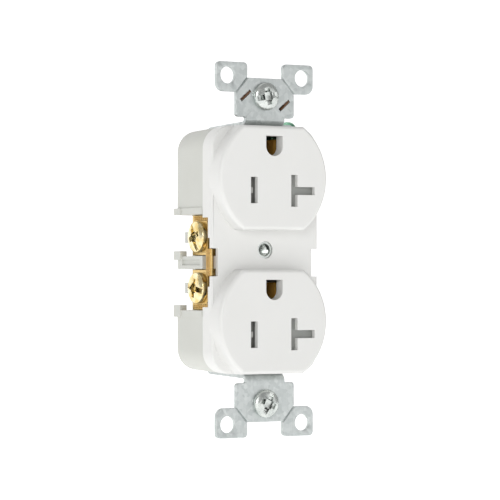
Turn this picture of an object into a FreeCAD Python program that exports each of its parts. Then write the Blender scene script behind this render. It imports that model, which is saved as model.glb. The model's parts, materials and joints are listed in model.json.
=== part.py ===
import FreeCAD, Part
import math
import os

# Tamper-resistant 20 A duplex wall outlet with a wrap-around steel strap. All sizes in millimetres.
#
# Frame: the origin is the centre of the mounting plane, which is the rear face of the four ears,
# midway between the two mounting screws. +X is to the right seen from the room, +Y goes into the
# wall and +Z is up. "Front" is -Y and "rear" is +Y. The hot side is -X and the neutral side is +X.

V = FreeCAD.Vector

# ---------------------------------------------------------------- driving dimensions
# Standard wiring-device dimensions
mount_pitch = 83.34          # between the two mounting screws
outlet_pitch = 38.9          # between the centres of the two outlet faces
blade_pitch = 12.7           # hot slot centre to neutral slot centre
ground_rise = 11.9           # ground hole centre above the blade slots
blade_drop = 3.4             # blade slots below the centre of their outlet face

# Body
body_width = 33.5
body_corner = 6.0            # corner radius of the body's outline
end_draft = 2.2              # degrees that each end leans inwards towards the rear
face_overhang = 0.3          # how far a round outlet face stands past each side of the body
face_height = 28.2           # across the two flats, which end level with the body
face_rise = 4.8              # outlet face in front of the strap's front surface
split_depth = 5.1            # cover to rear body joint, behind the strap's front surface
rear_depth = 19.95           # rear wall, behind the strap's front surface
cover_wall = 1.6
face_wall = 1.6
bridge_wall = 1.35
rear_wall = 1.5
back_wall = 1.8
face_edge = 1.1              # rounding of an outlet face's rim
rear_edge = 1.5              # rounding of the body's two rear end edges
ground_window = (8.4, 6.4)   # opening in the rear wall behind each ground contact
skirt_edge = 0.5             # rounding of the cover's shoulder
cover_boss = (1.4, 1.5)      # wall around the centre post, and its end behind the joint
body_boss_wall = 1.6
snap_height = 21.3           # the four snap tongues, above and below the middle
snap = (3.2, 1.0, 4.6)       # width, thickness and reach behind the joint
snap_root = (2.5, 2.0)       # how far a tongue starts before the joint, and its foot's depth
snap_barb = (0.5, 1.2)       # how proud and how deep a barb is
barb_lap = 0.2               # how far a barb starts inside its tongue
pocket_start = 0.5           # plastic left over a barb's pocket

# Slots in an outlet face
hot_slot = (2.1, 7.1)        # width, height
neutral_slot = (2.0, 8.65)
neutral_arm = (6.5, 2.15)    # reach to the right of the slot's centre, height
ground_hole_radius = 2.6
ground_hole_flat = 2.85      # flat top of the ground hole above its centre
ground_sleeve = 3.4          # depth of the ground hole's guide
ground_sleeve_wall = 1.0

# Strap
strap_thickness = 1.25
strap_length = 101.5
strap_width = 30.6           # over the ears
bend_radius = 0.75           # inside radius of each bend
band_width = 12.3            # neck, ends and back of the strap
plate_width = 18.35          # centre section between the ears
plate_start = 2.45           # where the centre section starts, past the end of the body
plate_corners = (0.4, 0.9)   # inner and outer corner radius where it starts
ear_gap = 11.3               # notch between two ears
ear_notch = 4.1              # depth of that notch
notch_corner = 0.3
ear_height = 8.1
ear_corner = 2.3             # outer corner next to the body
ear_tip = 1.2                # corners at the end of the strap
ear_hole_radius = 2.29
ear_hole_inset = (3.5, 3.65) # hole centre from the strap's side and from its end
mount_slot = (3.9, 5.7)      # height and width of the mounting screws' slots
score_width = 0.7
score_depth = 0.45
score_run_out = 0.5
clip_slot = (4.1, 0.85)      # length and width of the self-grounding clip's slots
clip_slot_angle = 41.0       # degrees, rising to the right
clip_left = (-6.2, 0.13)     # x and z of the two clip slots, from the upper mounting screw
clip_right = (6.1, -2.17)
clip_thickness = 0.4
clip_tongue = (3.5, 0.25)    # length, and how proud of the strap it stands
clip_bar = (-2.6, -1.0)      # lower and upper edge of its bar, below the slots' line
clip_foot = (0.3, 1.6, 0.6)  # past the slot, before the slot, and above the slots' line
ground_tab = (6.4, 4.0)      # width of the ground screw's tab, and its end below the screw
ground_screw_z = 31.0

# Terminals
bay_middle = -3.4            # height of the middle of both terminal bays
bay_height = 26.0
terminal_pitch = 13.9
screw_bore = 3.0             # depth of a terminal screw's hole in the core
terminal_depth = 8.75        # terminal screws, behind the strap's front surface
bus_inset = 2.35             # outer face of each bus strip, in from the body's side
bus_thickness = 0.8
bus_front = 4.25             # front edge of the bus strips, behind the strap's front surface
bus_length = 10.3            # depth of the bus strips, front to rear
core_inset = 5.35            # body's wall behind the bus strips, in from the body's side
ledge_height = 1.85
ledge_proud = 0.3
nub_length = 3.6
nub_proud = 0.6
divider_height = 3.5
hot_fin_inset = 0.25         # outer face of the hot break-off fin, in from the body's side
neutral_fin_inset = 1.35     # the same on the neutral side, where the fin lies deeper
fin_thickness = 0.5
fin_web = 0.8
fin_front = 1.1              # front edge of the fin, behind the strap's front surface
fin_depth = 2.35
divider_groove = (1.5, 0.5)  # height and depth of the groove along the divider
divider_end = 1.2            # divider's end before the rear wall
rear_nub = (1.0, 1.4)        # below and above the divider's top edge
low_nub = (0.2, 1.4)         # below and above the lower ledge's top edge
core_lap = 0.5               # how far a rib starts inside the core
bus_bridge = 3.2             # depth of the strip that joins a bus strip's two halves
bridge_slot = (1.0, 1.4, 0.8, 2.4)             # start, depth, height and pitch of its two slots
bus_arm = 6.0                # how far a bus strip's arms reach along the bay
rib_height = 3.0             # rib between the two wire ways of a terminal
rib_inset = 2.95             # face of that rib, in from the body's side
notch_depth = 1.9            # notch over the break-off fin, in from the cover's side
notch_height = 7.5
skirt_relief = 2.8           # how much shorter the cover's side is along a terminal bay
relief_margin = 0.9          # from the end of the bay to the end of that relief
relief_step = (0.9, 2.8)     # depth and length of the step beside the notch
skirt_lap = 0.2              # how far that relief cuts past the cover's wall
cover_rib = 1.2              # rib inside the notch

# Fasteners
device_screw = (1.75, 3.82, 0.6, 1.9, 13.3)    # shank radius, head radius, rim, crown, shank length
device_neck = (1.45, 3.4)    # radius and length of the plain neck under a mounting screw's head
device_recess = (6.0, 4.2)   # length of its slot and of its cross
terminal_screw = (2.08, 4.2, 1.3, 2.2, 5.2)
terminal_recess = (7.2, 4.4)
ground_screw = (2.08, 4.7, 1.1, 1.8, 5.6)
ground_recess_size = (7.0, 3.6)
dome = (0.55, 0.74)          # where a head's dome passes, as parts of its radius and its crown
screw_tip = (0.7, 0.8)       # width as part of the shank, and length
recess_width = 1.0
recess_depth = 1.0
clamp_plate = (8.0, 8.4, 1.0)                  # depth, height and thickness
clamp_corner = 0.8
clamp_ridge = (0.4, 0.25)                      # width and depth of the grooves that grip a wire
post_radius = 2.45
post_bore = 1.75
post_flange = (4.0, 0.8)                       # radius and thickness of its rear flange
counterbore = (2.35, 0.5)                      # radius and depth
post_recess = 0.55                             # the post's front end behind the bridge's front
rivet = (1.2, 2.2, 0.7)                        # shank radius, head radius, head height
upset = (1.76, 0.49)                           # radius and height of its inner end
washer = (8.0, 0.6, 0.8, 0.9)                  # side, thickness, corner and place behind the strap

# Shutters and contacts
shutter_thickness = 1.6
shutter_lap = 0.3            # how far a closed shutter covers past its slot
ramp = 1.0                   # depth of the hot shutter's ramp
hot_shutter_lap = 0.5        # the same at the hot shutter's top and bottom
lug_drop = 2.2               # height of the neutral shutter's spring lug
frame_thickness = 0.9
frame_margin = (0.8, 1.2)    # frame below the lug and above the neutral slot
frame_inset = 0.2
post_wall = 0.8
hot_post = (4.4, 2.4)        # from the hot shutter to its spring's post, and the post's height
neutral_post = (0.6, 1.8)    # from the hot slot's middle to the other post, and its height
hot_turns = 5
neutral_turns = 12
spring_radius = 0.7          # to the outside of the coil
spring_wire = 0.13           # wire radius
contact_thickness = 0.6
contact_height = 6.6
contact_setback = 0.4        # contacts' mouths behind the shutter frame
contact_depth = 8.0          # contacts' bases behind the bus strips' front edge
flare = 0.6                  # how much wider a contact is behind its grip
mouth_flare = 0.45
grip_span = (1.8, 2.8)       # start and end of a blade contact's grip behind its mouth
cross_start = 1.0            # start of the leaves for a horizontal blade behind the mouth
cross_reach = 0.5            # neutral contact's end past the horizontal slot
blade_grip = 0.6             # half the gap where a contact grips a blade
ground_grip = 2.3            # half the gap where a ground contact grips its pin
ground_leaf = (0.7, 4.2)     # thickness and width of a ground contact
ground_flare = (0.4, 0.5)    # at its mouth and behind its grip
ground_bends = (3.0, 5.0, 9.0)                 # bends behind the mouth

# Clearances
sheet_gap = 0.1              # strap to body
part_gap = 0.05              # between flat faces that lie on each other
slide_gap = 0.1              # between a shutter and what it slides on
window_gap = 0.1             # frame opening around a slot
fin_gap = 0.15               # each end of the break-off fin in its notch
recess_gap = 0.4             # around the ground screw's head and its tab
turn_gap = 0.05              # radial, around a shank that turns
hole_gap = 0.25              # radial, around a shank that passes through plastic
plate_screw_gap = 0.4        # radial, where the wall plate's screw passes through the cover

# ---------------------------------------------------------------- worked-out places
front = -strap_thickness                       # y of the strap's front surface
face_plane = front - face_rise
split = front + split_depth
rear = front + rear_depth
inside_back = rear - back_wall
half_width = body_width / 2
bus_plane = half_width - bus_inset
core_plane = half_width - core_inset
rib_plane = half_width - rib_inset
half_height = (outlet_pitch + face_height) / 2
strap_end = strap_length / 2
plate_low = half_height + plate_start
plate_high = strap_end - ear_notch             # bottom of the notch between two ears
lean = math.tan(math.radians(end_draft))
outlets = {"upper": outlet_pitch / 2, "lower": -outlet_pitch / 2}
hot_x = -blade_pitch / 2
neutral_x = blade_pitch / 2
screw_z = mount_pitch / 2
band = band_width / 2
band_front = rear + part_gap                   # inner surface of the strap's back
band_rear = band_front + strap_thickness
bay_low = bay_middle - bay_height / 2
bay_high = bay_middle + bay_height / 2
terminals = {"upper": bay_middle + terminal_pitch / 2, "lower": bay_middle - terminal_pitch / 2}
terminal_y = front + terminal_depth
bus_y = (front + bus_front, front + bus_front + bus_length)
bus_inside = bus_plane - bus_thickness
fin_y = (front + fin_front, front + fin_front + fin_depth)
clamp_face = bus_plane + clamp_plate[2]        # where a terminal screw's head rests
shutter_y = (face_plane + face_wall + slide_gap, face_plane + face_wall + slide_gap + shutter_thickness)
frame_y = (shutter_y[1] + slide_gap, shutter_y[1] + slide_gap + frame_thickness)
contact_mouth = frame_y[1] + contact_setback
contact_base = bus_y[0] + contact_depth
face_radius = half_width + face_overhang
face_cavity = face_radius - cover_wall
ground_tab_x = (core_plane, core_plane + strap_thickness)
ground_screw_x = ground_tab_x[1] + part_gap
ground_screw_y = split + ground_screw[1] + hole_gap
ground_tab_y = (ground_screw_y - ground_tab[0] / 2, ground_screw_y + ground_tab[0] / 2)
ground_recess_x = ground_tab_x[0] - cover_rib
ground_recess_z = ground_screw_z - ground_screw[1] - recess_gap
ground_recess_rear = ground_screw_y + ground_screw[1] + recess_gap
post_front = front + post_recess
snap_face = half_width - rear_wall - sheet_gap # outer face of a snap tongue
spring_y = (shutter_y[0] + shutter_y[1]) / 2
hot_span = (hot_x - hot_slot[0] / 2 - shutter_lap, hot_x + hot_slot[0] / 2 + shutter_lap)
hot_post_x = hot_span[0] - hot_post[0]         # face that the hot shutter's spring pushes on
neutral_post_x = hot_x - neutral_post[0]       # face that the neutral shutter's spring pushes on


# ---------------------------------------------------------------- shape helpers
def block(x, y, z):
    """A box between low and high values along each axis."""
    return Part.makeBox(x[1] - x[0], y[1] - y[0], z[1] - z[0], V(x[0], y[0], z[0]))


def mirrored(x):
    """The same span on the other side of the middle."""
    return (-x[1], -x[0])


def rod(radius, start, end):
    """A cylinder between two points."""
    axis = V(*end) - V(*start)
    return Part.makeCylinder(radius, axis.Length, V(*start), axis)


def rounded_wire(points, place):
    """A closed wire through (u, v, corner radius) points; place turns (u, v) into a 3-D point."""
    edges = []
    count = len(points)
    ends = []
    for i in range(count):
        here = V(points[i][0], points[i][1], 0)
        before = V(points[i - 1][0], points[i - 1][1], 0) - here
        after = V(points[(i + 1) % count][0], points[(i + 1) % count][1], 0) - here
        radius = points[i][2]
        before.normalize()
        after.normalize()
        if radius == 0:
            ends.append((here, None, here))
            continue
        half = before.getAngle(after) / 2
        bisector = before + after
        bisector.normalize()
        reach = radius / math.tan(half)
        middle = here + bisector * (radius / math.sin(half) - radius)
        ends.append((here + before * reach, middle, here + after * reach))
    for i in range(count):
        start, middle, end = ends[i]
        if middle is not None:
            arc = Part.Arc(place(start.x, start.y), place(middle.x, middle.y), place(end.x, end.y))
            edges.append(arc.toShape())
        following = ends[(i + 1) % count][0]
        if end.distanceToPoint(following) > 1e-6:
            edges.append(Part.makeLine(place(end.x, end.y), place(following.x, following.y)))
    return Part.Wire(edges)


def plate_xz(points, y):
    """A plate whose outline is given as (x, z, corner radius) points, between two y values."""
    wire = rounded_wire(points, lambda u, v: V(u, y[0], v))
    return Part.Face(wire).extrude(V(0, y[1] - y[0], 0))


def profile_xy(points, z):
    """A prism along Z whose section is given as (x, y) points."""
    wire = rounded_wire([(u, v, 0) for u, v in points], lambda u, v: V(u, v, z[0]))
    return Part.Face(wire).extrude(V(0, 0, z[1] - z[0]))


def profile_yz(points, x):
    """A prism along X whose section is given as (y, z, corner radius) points."""
    wire = rounded_wire(points, lambda u, v: V(x[0], u, v))
    return Part.Face(wire).extrude(V(x[1] - x[0], 0, 0))


def rectangle(half_u, half_v):
    """The corners of a centred rectangle."""
    return ((-half_u, -half_v), (half_u, -half_v), (half_u, half_v), (-half_u, half_v))


def aim(shape, position, direction, spin=0.0):
    """Turn a shape built along +Z to point along a direction, and move it to a position."""
    shape.rotate(V(0, 0, 0), V(0, 0, 1), spin)
    turn = FreeCAD.Rotation(V(0, 0, 1), V(*direction))
    shape.Placement = FreeCAD.Placement(V(*position), turn) * shape.Placement
    return shape


def screw(size, slot_length, cross_length, position, direction, spin, neck=None):
    """A domed screw with a combination recess; position is the middle of its head's underside.

    A neck, given as its radius and length, keeps the shank thin for a stretch under the head.
    """
    shank_radius, head_radius, rim, crown, shank_length = size
    arc_middle = V(head_radius * dome[0], 0, rim + (crown - rim) * dome[1])
    edges = [
        Part.makeLine(V(0, 0, 0), V(head_radius, 0, 0)),
        Part.makeLine(V(head_radius, 0, 0), V(head_radius, 0, rim)),
        Part.Arc(V(head_radius, 0, rim), arc_middle, V(0, 0, crown)).toShape(),
        Part.makeLine(V(0, 0, crown), V(0, 0, 0)),
    ]
    head = Part.Face(Part.Wire(edges)).revolve(V(0, 0, 0), V(0, 0, 1), 360)
    half = recess_width / 2
    floor = crown - recess_depth
    slot = block((-slot_length / 2, slot_length / 2), (-half, half), (floor, crown + 1))
    cross = block((-half, half), (-cross_length / 2, cross_length / 2), (floor, crown + 1))
    tip = Part.makeCone(shank_radius * screw_tip[0], shank_radius, screw_tip[1], V(0, 0, -shank_length))
    plain = neck[1] if neck else 0.0
    tip_top = screw_tip[1] - shank_length
    shank = Part.makeCylinder(shank_radius, -plain - tip_top, V(0, 0, tip_top))
    pieces = [shank, tip]
    if neck:
        pieces.append(Part.makeCylinder(neck[0], plain, V(0, 0, -plain)))
    whole = head.cut(slot).cut(cross).fuse(pieces).removeSplitter()
    return aim(whole, position, direction, spin)


def coil_spring(start_x, end_x, y, z, turns):
    """A round-wire compression spring lying along X."""
    mean = spring_radius - spring_wire
    length = end_x - start_x - 2 * spring_wire
    helix = Part.makeHelix(length / turns, length, mean)
    section = Part.Wire(Part.makeCircle(spring_wire, V(mean, 0, 0), V(0, 1, 0)))
    coil = Part.Wire(helix).makePipeShell([section], True, True)
    return aim(coil, (start_x + spring_wire, y, z), (1, 0, 0))


def at_outlet(z):
    """Heights of the blade slots and of the ground hole of the outlet centred at z."""
    return z - blade_drop, z - blade_drop + ground_rise


def t_points(grow):
    """Outline of the neutral slot about its own centre, larger all round by grow."""
    half, tall = neutral_slot[0] / 2 + grow, neutral_slot[1] / 2 + grow
    reach, arm = neutral_arm[0] + grow, neutral_arm[1] / 2 + grow
    return [(-half, -tall), (half, -tall), (half, -arm), (reach, -arm),
            (reach, arm), (half, arm), (half, tall), (-half, tall)]


def t_plate(centre_z, grow, y, shift=0.0):
    """A plate in the shape of the neutral slot."""
    points = [(neutral_x + shift + x, centre_z + z, 0) for x, z in t_points(grow)]
    return plate_xz(points, y)


def d_plate(centre_z, grow, y):
    """A plate in the shape of the ground hole: a flat top and a round bottom."""
    radius = ground_hole_radius + grow
    top = centre_z + ground_hole_flat + grow
    disc = rod(radius, (0, y[0], centre_z), (0, y[1], centre_z))
    return disc.fuse(block((-radius, radius), y, (centre_z, top))).removeSplitter()


# ---------------------------------------------------------------- body shells
def end_height(y):
    """Half the body's height at a depth, with the ends' draft."""
    return half_height - (y - front) * lean


def hull(inset, y):
    """The body's drafted outline between two depths, smaller all round by inset."""
    near, far = end_height(y[0]) - inset, end_height(y[1]) - inset
    points = [(y[0], -near, 0), (y[1], -far, 0), (y[1], far, 0), (y[0], near, 0)]
    whole = profile_yz(points, (inset - half_width, half_width - inset))
    boxes = [(edge, edge.BoundBox) for edge in whole.Edges]
    corners = [edge for edge, box in boxes if box.YLength > y[1] - y[0] - 1e-3 and box.XLength < 1e-3]
    return whole.makeFillet(body_corner - inset, corners)


def face_disc(radius, flat, centre_z, y):
    """A round outlet face with a flat top and bottom."""
    disc = rod(radius, (0, y[0], centre_z), (0, y[1], centre_z))
    return disc.common(block((-radius, radius), y, (centre_z - flat, centre_z + flat)))


def edges_at(shape, y):
    """The edges of a shape that lie in the plane at one depth."""
    found = []
    for edge in shape.Edges:
        box = edge.BoundBox
        if abs(box.YMin - y) < 1e-4 and abs(box.YMax - y) < 1e-4:
            found.append(edge)
    return found


def on_side(side, x):
    """An X span given for the neutral side, on either side."""
    return x if side > 0 else mirrored(x)


def front_cover():
    """White moulded cover: two raised outlet faces on a shallow skirt, open at the rear."""
    cover = hull(0, (front, split))
    cover = cover.makeFillet(skirt_edge, edges_at(cover, front))
    cavity = hull(cover_wall, (front + bridge_wall, split + 1))
    for z in outlets.values():
        disc = face_disc(face_radius, face_height / 2, z, (face_plane, front + bridge_wall))
        disc = disc.makeFillet(face_edge, edges_at(disc, face_plane))
        cover = cover.fuse(disc)
        hollow = face_disc(face_cavity, face_height / 2 - cover_wall, z,
                           (face_plane + face_wall, front + bridge_wall + 1))
        cavity = cavity.fuse(hollow)
    cover = cover.cut(cavity)
    for z in outlets.values():
        blades, ground = at_outlet(z)
        sleeve_y = (face_plane + face_wall / 2, face_plane + ground_sleeve)
        cover = cover.fuse(d_plate(ground, ground_sleeve_wall, sleeve_y))
        through = (face_plane - 1, face_plane + ground_sleeve + 1)
        cover = cover.cut(d_plate(ground, 0, through))
        cover = cover.cut(block((hot_x - hot_slot[0] / 2, hot_x + hot_slot[0] / 2), through,
                                (blades - hot_slot[1] / 2, blades + hot_slot[1] / 2)))
        cover = cover.cut(t_plate(blades, 0, through))
    boss_end = split + cover_boss[1]
    boss_radius = post_radius + hole_gap + cover_boss[0]
    cover = cover.fuse(rod(boss_radius, (0, front + bridge_wall / 2, 0), (0, boss_end, 0)))
    cover = cover.cut(rod(post_radius + part_gap, (0, post_front - part_gap, 0), (0, boss_end + 1, 0)))
    cover = cover.cut(rod(counterbore[0], (0, front - 1, 0), (0, front + counterbore[1], 0)))
    cover = cover.cut(rod(post_bore + plate_screw_gap, (0, front, 0), (0, post_front + 1, 0)))
    for side in (-1, 1):
        cover = cover.fuse(snap_hooks(side))
        cover = cover.cut(cover_side_cuts(side))
        rib_x = on_side(side, (half_width - notch_depth - cover_rib, half_width - notch_depth))
        rib_y = (front + bridge_wall / 2, fin_y[1] - fin_web - sheet_gap)
        rib_z = (bay_middle - divider_height / 2, bay_middle + divider_height / 2)
        cover = cover.fuse(block(rib_x, rib_y, rib_z))
    return cover.removeSplitter()


def cover_side_cuts(side):
    """What is taken off one side of the cover's skirt along the terminal bay."""
    outer = on_side(side, (half_width - notch_depth, half_width + 1))
    skirt = on_side(side, (half_width - cover_wall - skirt_lap, half_width + 1))
    notch = block(outer, (front - 1, split + 1),
                  (bay_middle - notch_height / 2, bay_middle + notch_height / 2))
    relief = block(skirt, (split - skirt_relief, split + 1),
                   (bay_low + relief_margin, bay_high - relief_margin))
    step_half = notch_height / 2 + relief_step[1]
    step = block(skirt, (split - skirt_relief - relief_step[0], split + 1),
                 (bay_middle - step_half, bay_middle + step_half))
    return notch.fuse([relief, step])


def snap_hooks(side):
    """Two tongues with barbs that hold the cover to the rear body on one side."""
    tongue_x = on_side(side, (snap_face - snap[1], snap_face))
    barb_x = on_side(side, (snap_face - barb_lap, snap_face + snap_barb[0]))
    root_x = on_side(side, (snap_face - snap[1], half_width - cover_wall / 2))
    start, end = split - snap_root[0], split + snap[2]
    hooks = []
    for z in (-snap_height, snap_height):
        span = (z - snap[0] / 2, z + snap[0] / 2)
        hooks.append(block(tongue_x, (start, end), span))
        hooks.append(block(root_x, (start, start + snap_root[1]), span))
        hooks.append(block(barb_x, (end - snap_barb[1], end), span))
    return hooks[0].fuse(hooks[1:])


def rear_body():
    """Light grey moulded body: holds the contacts, with a terminal bay down each side."""
    body = hull(0, (split, rear))
    ends = [e for e in edges_at(body, rear) if e.BoundBox.ZLength < 0.01]
    body = body.makeFillet(rear_edge, ends)
    body = body.cut(body_cavity())
    boss_start = split + cover_boss[1] + sheet_gap
    boss_radius = post_radius + hole_gap + body_boss_wall
    body = body.fuse(rod(boss_radius, (0, boss_start, 0), (0, rear - sheet_gap, 0)))
    for side in (-1, 1):
        body = body.cut(bay_cut(side))
        body = body.fuse(bay_details(side))
        body = body.cut(snap_pockets(side))
        inner, outer = side * (core_plane - screw_bore), side * (half_width + 1)
        for z in terminals.values():
            hole = rod(terminal_screw[0] + hole_gap, (inner, terminal_y, z), (outer, terminal_y, z))
            body = body.cut(hole)
    body = body.cut(ground_recess())
    body = body.cut(rod(post_radius + part_gap, (0, split - 1, 0), (0, rear + 1, 0)))
    for z in outlets.values():
        ground = at_outlet(z)[1]
        window_x, window_z = ground_window[0] / 2, ground_window[1] / 2
        body = body.cut(block((-window_x, window_x), (inside_back - 1, rear + 1),
                              (ground - window_z, ground + window_z)))
    return body


def snap_pockets(side):
    """The two pockets on one side that the cover's barbs snap into."""
    x = on_side(side, (snap_face + sheet_gap - pocket_start, snap_face + 2 * sheet_gap + snap_barb[0]))
    end = split + snap[2]
    half = snap[0] / 2 + sheet_gap
    y = (end - snap_barb[1] - sheet_gap, end + sheet_gap)
    pockets = [block(x, y, (z - half, z + half)) for z in (-snap_height, snap_height)]
    return pockets[0].fuse(pockets[1])


def ground_recess():
    """The open corner for the ground screw's head and tab, with the hole for its shank."""
    recess = block((ground_recess_x, half_width + 1), (split - 1, ground_recess_rear),
                   (ground_recess_z, half_height + 1))
    shelf_way = block((band + sheet_gap, ground_recess_x + 1),
                      (ground_tab_y[0] - recess_gap, ground_tab_y[1] + recess_gap),
                      (end_height(rear) + sheet_gap, half_height + 1))
    shank_way = rod(ground_screw[0] + hole_gap,
                    (ground_screw_x - ground_screw[4] - recess_gap, ground_screw_y, ground_screw_z),
                    (half_width, ground_screw_y, ground_screw_z))
    return recess.fuse([shelf_way, shank_way])


def body_cavity():
    """The hollow of the rear body, which leaves solid plastic behind the bays and the recess."""
    cavity = hull(rear_wall, (split - 1, inside_back))
    kept = []
    for side in (-1, 1):
        x = sorted((side * (core_plane - rear_wall), side * (half_width + 1)))
        kept.append(block(x, (split - 2, rear), (bay_low - ledge_height, bay_high + ledge_height)))
    kept.append(block((ground_recess_x - rear_wall, half_width + 1),
                      (split - 2, ground_recess_rear + rear_wall),
                      (ground_recess_z - rear_wall, half_height + 1)))
    return cavity.cut(kept[0]).cut(kept[1]).cut(kept[2])


def bay_cut(side):
    """The open space of one terminal bay."""
    front_x = on_side(side, (bus_inside, half_width + 1))
    rear_x = on_side(side, (core_plane, half_width + 1))
    beside = block(front_x, (split - 1, bus_y[1]), (bay_low, bay_high))
    behind = block(rear_x, (bus_y[1], rear + 1), (bay_low, bay_high))
    return beside.fuse(behind)


def bay_details(side):
    """Divider, ribs, ledges and nubs of one terminal bay."""
    pieces = []

    def add(x, y, z):
        pieces.append(block(on_side(side, x), y, z))

    ledge_x = (half_width - rear_wall, half_width + ledge_proud)
    nub_x = (half_width - rear_wall, half_width + nub_proud)
    nub_y = (rear - nub_length, rear)
    for z in ((bay_high, bay_high + ledge_height), (bay_low - ledge_height, bay_low)):
        add(ledge_x, (split + sheet_gap, rear), z)
        add(nub_x, nub_y, z)
    add(nub_x, nub_y, (bay_low - low_nub[0], bay_low + low_nub[1]))
    top = bay_middle + divider_height / 2
    divider_z = (top - divider_height, top)
    add((bus_plane + part_gap, half_width), (split + sheet_gap, rear - divider_end), divider_z)
    add((core_plane - core_lap, half_width), (bus_y[1] + part_gap, rear - divider_end), divider_z)
    add(nub_x, nub_y, (top - rear_nub[0], top + rear_nub[1]))
    for z in terminals.values():
        rib_z = (z - rib_height / 2, z + rib_height / 2)
        add((core_plane - core_lap, rib_plane), (bus_y[1] + part_gap, rear), rib_z)
    whole = pieces[0].fuse(pieces[1:])
    groove_x = on_side(side, (half_width - divider_groove[1], half_width + 1))
    groove = block(groove_x, (split + cover_boss[1], rear - nub_length),
                   (bay_middle - divider_groove[0] / 2, bay_middle + divider_groove[0] / 2))
    return whole.cut(groove)


# ---------------------------------------------------------------- strap
def band_points():
    """Section of the strap's ends and back in the YZ plane, as (y, z, corner radius) points."""
    outer_radius = bend_radius + strap_thickness
    slope_gap = strap_thickness / math.cos(math.radians(end_draft))

    def near(y):
        return end_height(y) + sheet_gap

    def far(y):
        return near(y) + slope_gap

    body_side = [(front, plate_low, 0), (front, near(front), outer_radius),
                 (band_front, near(band_front), bend_radius)]
    outer_side = [(band_rear, far(band_rear), outer_radius), (0, far(0), bend_radius), (0, plate_low, 0)]
    lower_body = [(y, -z, r) for y, z, r in reversed(body_side)]
    lower_outer = [(y, -z, r) for y, z, r in reversed(outer_side)]
    return body_side + lower_body + lower_outer + outer_side


def end_plate(up):
    """The flat ears and centre section at one end; up is +1 or -1."""
    half_plate, ear_out, ear_in = plate_width / 2, strap_width / 2, ear_gap / 2
    ear_low = strap_end - ear_height
    right = [
        (band, plate_low - plate_corners[0], 0), (band, plate_low, plate_corners[0]),
        (half_plate, plate_low, plate_corners[1]), (half_plate, ear_low, 0),
        (ear_out, ear_low, ear_corner), (ear_out, strap_end, ear_tip),
        (ear_in, strap_end, ear_tip), (ear_in, plate_high, notch_corner),
    ]
    left = [(-x, z, r) for x, z, r in reversed(right)]
    return plate_xz([(x, up * z, r) for x, z, r in right + left], (front, 0))


def score(side, up):
    """The groove along which an ear breaks off, from the notch to the corner of the centre section."""
    start = V(side * ear_gap / 2, front, up * plate_high)
    end = V(side * plate_width / 2, front, up * (strap_end - ear_height))
    along = end - start
    along.normalize()
    across = V(along.z, 0, -along.x)
    start = start - along * score_run_out
    half = across * (score_width / 2)
    lift = V(0, -sheet_gap, 0)
    deep = V(0, score_depth, 0)
    corners = [start + half + lift, start - half + lift, start + deep, start + half + lift]
    length = start.distanceToPoint(end) + score_run_out
    return Part.Face(Part.makePolygon(corners)).extrude(along * length)


def clip_slot_cut(place):
    """One diagonal slot for the self-grounding clip."""
    length, width = clip_slot
    slot = block((-length / 2, length / 2), (front - 1, 1), (-width / 2, width / 2))
    slot.rotate(V(0, 0, 0), V(0, 1, 0), -clip_slot_angle)
    slot.translate(V(place[0], 0, screw_z + place[1]))
    return slot


def mounting_strap():
    """One-piece galvanised strap: ears, necks, ends, back and the ground screw's tab."""
    section = band_points()
    strap = profile_yz(section, (-band, band))
    strap = strap.fuse([end_plate(1), end_plate(-1)])
    shelf = profile_yz(section, (0, ground_tab_x[1])).common(
        block((band - core_lap, ground_tab_x[1]), ground_tab_y, (0, plate_low)))
    shelf_low = end_height(ground_tab_y[1]) + sheet_gap
    tab_z = (ground_screw_z - ground_tab[1], shelf_low + strap_thickness / 2)
    tab = block(ground_tab_x, ground_tab_y, tab_z)
    strap = strap.fuse([shelf, tab])
    half, reach = mount_slot[0] / 2, (mount_slot[1] - mount_slot[0]) / 2
    for up in (-1, 1):
        z = up * screw_z
        strap = strap.cut(block((-reach, reach), (front - 1, 1), (z - half, z + half)))
        for side in (-1, 1):
            strap = strap.cut(rod(half, (side * reach, front - 1, z), (side * reach, 1, z)))
            ear_x = side * (strap_width / 2 - ear_hole_inset[0])
            ear_z = up * (strap_end - ear_hole_inset[1])
            strap = strap.cut(rod(ear_hole_radius, (ear_x, front - 1, ear_z), (ear_x, 1, ear_z)))
            strap = strap.cut(score(side, up))
    for place in (clip_left, clip_right):
        strap = strap.cut(clip_slot_cut(place))
    strap = strap.cut(rod(post_radius + part_gap, (0, band_front - 1, 0), (0, band_rear + 1, 0)))
    for z in outlets.values():
        ground = at_outlet(z)[1]
        strap = strap.cut(rod(rivet[0] + part_gap, (0, band_front - 1, ground), (0, band_rear + 1, ground)))
    strap = strap.cut(rod(ground_screw[0] + turn_gap,
                          (ground_tab_x[0] - 1, ground_screw_y, ground_screw_z),
                          (ground_tab_x[1] + 1, ground_screw_y, ground_screw_z)))
    return strap.removeSplitter()


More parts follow.
